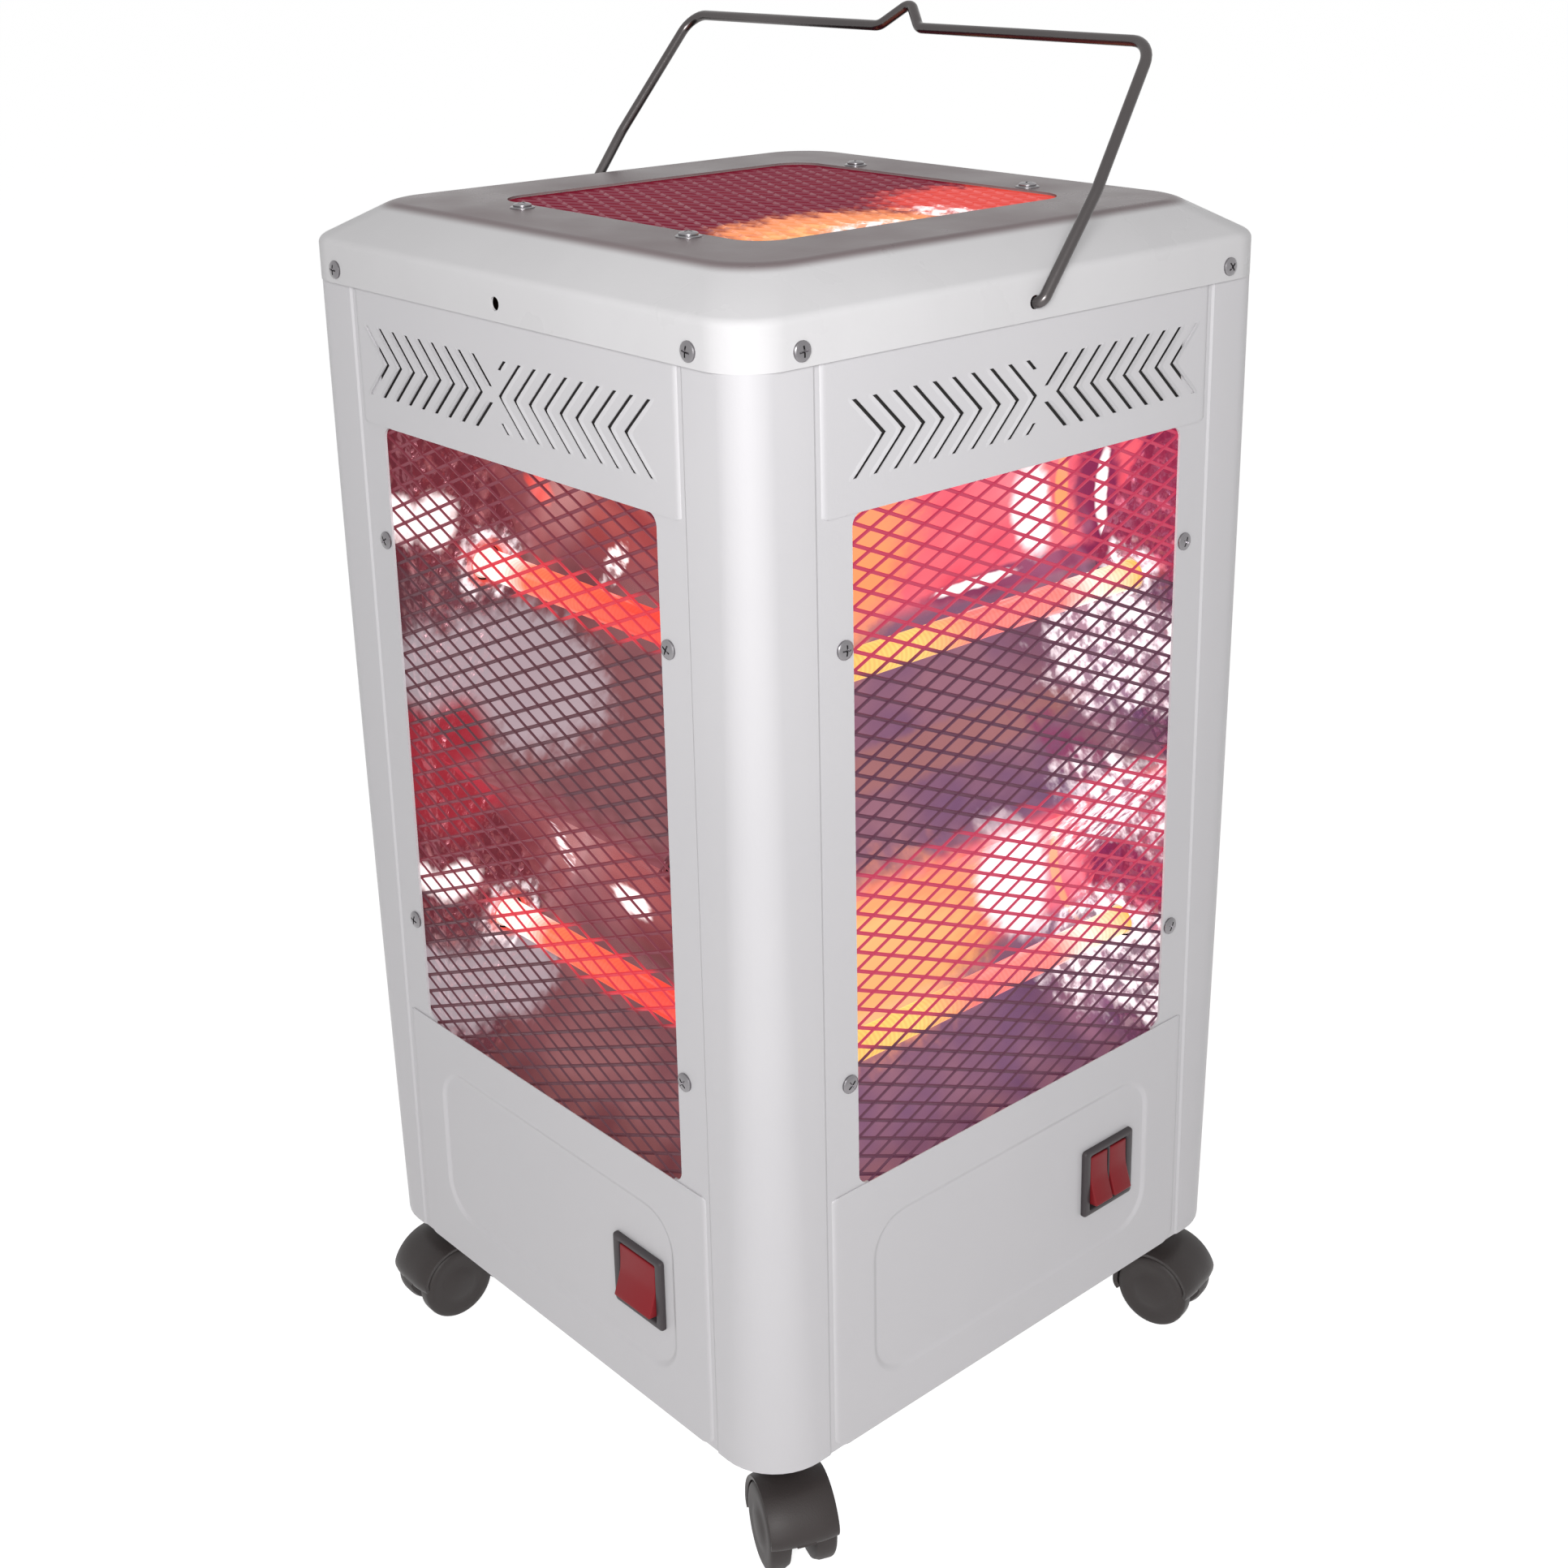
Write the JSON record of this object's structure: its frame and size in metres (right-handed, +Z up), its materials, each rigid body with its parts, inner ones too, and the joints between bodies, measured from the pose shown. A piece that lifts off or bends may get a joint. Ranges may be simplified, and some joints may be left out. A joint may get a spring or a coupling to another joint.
{
  "type": "portable quartz heater",
  "caption": "Square sheet-metal quartz heater on casters, with guarded glowing tubes on every side and under the lid, chevron vents, rocker switches and a wire bail.",
  "frame": {"origin": "on the floor, under the middle of the square body", "axes": "+Z up, -Y out of the face with the single rocker, +X out of the face with the two rockers, the bail's hinge along X"},
  "size_m": [0.3016, 0.2997, 0.6008],
  "materials": {
    "grey_enamel": "satin light grey enamel",
    "pan_steel": "plain galvanised sheet",
    "guard_steel": "dark expanded metal",
    "wire_steel": "drawn wire",
    "mirror_aluminium": "polished, slightly crinkled",
    "hot_quartz": "glowing quartz with ceramic ends",
    "terminal_ceramic": "matte",
    "black_plastic": "semi-gloss",
    "wheel_plastic": "matte",
    "red_rocker": "semi-gloss"
  },
  "bodies": {
    "heater_body": {"base_pan": "pan_steel", "post_front_right": "grey_enamel", "post_back_right": "grey_enamel", "post_back_left": "grey_enamel", "post_front_left": "grey_enamel", "lower_panel_front": "grey_enamel", "lower_panel_right": "grey_enamel", "lower_panel_back": "grey_enamel", "lower_panel_left": "grey_enamel", "vent_panel_front": "grey_enamel", "vent_panel_right": "grey_enamel", "vent_panel_back": "grey_enamel", "vent_panel_left": "grey_enamel", "guard_front": "guard_steel", "guard_right": "guard_steel", "guard_back": "guard_steel", "guard_left": "guard_steel", "lid": "grey_enamel", "top_guard": "guard_steel", "switch_bezel_front": "black_plastic", "switch_bezel_right": "black_plastic", "switch_bezel_back": "black_plastic", "switch_bezel_left": "black_plastic", "reflector_front": "mirror_aluminium", "reflector_right": "mirror_aluminium", "reflector_back": "mirror_aluminium", "reflector_left": "mirror_aluminium", "reflector_top": "mirror_aluminium", "quartz_tube_front_lower": "hot_quartz", "quartz_tube_front_upper": "hot_quartz", "quartz_tube_right_lower": "hot_quartz", "quartz_tube_right_upper": "hot_quartz", "quartz_tube_back_lower": "hot_quartz", "quartz_tube_back_upper": "hot_quartz", "quartz_tube_left_lower": "hot_quartz", "quartz_tube_left_upper": "hot_quartz", "quartz_tube_top_left": "hot_quartz", "quartz_tube_top_right": "hot_quartz", "cable_gland": "black_plastic", "terminal_block": "terminal_ceramic", "tilt_switch": "black_plastic"},
    "bail": {"carry_handle": "wire_steel"},
    "swivel_front_right": {"caster_front_right": "black_plastic"},
    "roller_front_right_a": {"wheel_front_right_a": "wheel_plastic"},
    "roller_front_right_b": {"wheel_front_right_b": "wheel_plastic"},
    "swivel_front_left": {"caster_front_left": "black_plastic"},
    "roller_front_left_a": {"wheel_front_left_a": "wheel_plastic"},
    "roller_front_left_b": {"wheel_front_left_b": "wheel_plastic"},
    "swivel_back_right": {"caster_back_right": "black_plastic"},
    "roller_back_right_a": {"wheel_back_right_a": "wheel_plastic"},
    "roller_back_right_b": {"wheel_back_right_b": "wheel_plastic"},
    "swivel_back_left": {"caster_back_left": "black_plastic"},
    "roller_back_left_a": {"wheel_back_left_a": "wheel_plastic"},
    "roller_back_left_b": {"wheel_back_left_b": "wheel_plastic"},
    "rocker_front": {"rocker_front": "red_rocker"},
    "rocker_right_a": {"rocker_right_a": "red_rocker"},
    "rocker_right_b": {"rocker_right_b": "red_rocker"},
    "rocker_back": {"rocker_back": "red_rocker"},
    "rocker_left": {"rocker_left": "red_rocker"}
  },
  "joints": [
    {"name": "bail_hinge", "type": "hinge", "parent": "heater_body", "child": "bail", "pos_m": [0, 0, 0.5005], "axis": [1, 0, 0], "range_deg": [-38.5, 112.5]},
    {"name": "swivel_front_right_turn", "type": "hinge", "parent": "heater_body", "child": "swivel_front_right", "pos_m": [0.111, -0.111, 0.05], "axis": [0, 0, 1], "continuous": true},
    {"name": "roller_front_right_a_spin", "type": "hinge", "parent": "swivel_front_right", "child": "roller_front_right_a", "pos_m": [0.13123, -0.10983, 0.0175], "axis": [0.4067, 0.9135, 0], "continuous": true},
    {"name": "roller_front_right_b_spin", "type": "hinge", "parent": "swivel_front_right", "child": "roller_front_right_b", "pos_m": [0.12366, -0.12682, 0.0175], "axis": [0.4067, 0.9135, 0], "continuous": true},
    {"name": "swivel_front_left_turn", "type": "hinge", "parent": "heater_body", "child": "swivel_front_left", "pos_m": [-0.111, -0.111, 0.05], "axis": [0, 0, 1], "continuous": true},
    {"name": "roller_front_left_a_spin", "type": "hinge", "parent": "swivel_front_left", "child": "roller_front_left_a", "pos_m": [-0.10233, -0.12931, 0.0175], "axis": [0.9994, -0.0349, 0], "continuous": true},
    {"name": "roller_front_left_b_spin", "type": "hinge", "parent": "swivel_front_left", "child": "roller_front_left_b", "pos_m": [-0.12092, -0.12866, 0.0175], "axis": [0.9994, -0.0349, 0], "continuous": true},
    {"name": "swivel_back_right_turn", "type": "hinge", "parent": "heater_body", "child": "swivel_back_right", "pos_m": [0.111, 0.111, 0.05], "axis": [0, 0, 1], "continuous": true},
    {"name": "roller_back_right_a_spin", "type": "hinge", "parent": "swivel_back_right", "child": "roller_back_right_a", "pos_m": [0.12667, 0.12384, 0.0175], "axis": [-0.2079, 0.9781, 0], "continuous": true},
    {"name": "roller_back_right_b_spin", "type": "hinge", "parent": "swivel_back_right", "child": "roller_back_right_b", "pos_m": [0.13054, 0.10565, 0.0175], "axis": [-0.2079, 0.9781, 0], "continuous": true},
    {"name": "swivel_back_left_turn", "type": "hinge", "parent": "heater_body", "child": "swivel_back_left", "pos_m": [-0.111, 0.111, 0.05], "axis": [0, 0, 1], "continuous": true},
    {"name": "roller_back_left_a_spin", "type": "hinge", "parent": "swivel_back_left", "child": "roller_back_left_a", "pos_m": [-0.1303, 0.11715, 0.0175], "axis": [-0.7071, -0.7071, 0], "continuous": true},
    {"name": "roller_back_left_b_spin", "type": "hinge", "parent": "swivel_back_left", "child": "roller_back_left_b", "pos_m": [-0.11715, 0.1303, 0.0175], "axis": [-0.7071, -0.7071, 0], "continuous": true},
    {"name": "rocker_front_tilt", "type": "hinge", "parent": "heater_body", "child": "rocker_front", "pos_m": [0.0603, -0.1374, 0.106], "axis": [1, 0, 0], "range_deg": [0, 20]},
    {"name": "rocker_right_a_tilt", "type": "hinge", "parent": "heater_body", "child": "rocker_right_a", "pos_m": [0.1374, 0.05025, 0.106], "axis": [0, 1, 0], "range_deg": [0, 20]},
    {"name": "rocker_right_b_tilt", "type": "hinge", "parent": "heater_body", "child": "rocker_right_b", "pos_m": [0.1374, 0.06375, 0.106], "axis": [0, 1, 0], "range_deg": [0, 20]},
    {"name": "rocker_back_tilt", "type": "hinge", "parent": "heater_body", "child": "rocker_back", "pos_m": [-0.0603, 0.1374, 0.106], "axis": [-1, 0, 0], "range_deg": [0, 20]},
    {"name": "rocker_left_tilt", "type": "hinge", "parent": "heater_body", "child": "rocker_left", "pos_m": [-0.1374, -0.0603, 0.106], "axis": [0, -1, 0], "range_deg": [0, 20]}
  ]
}
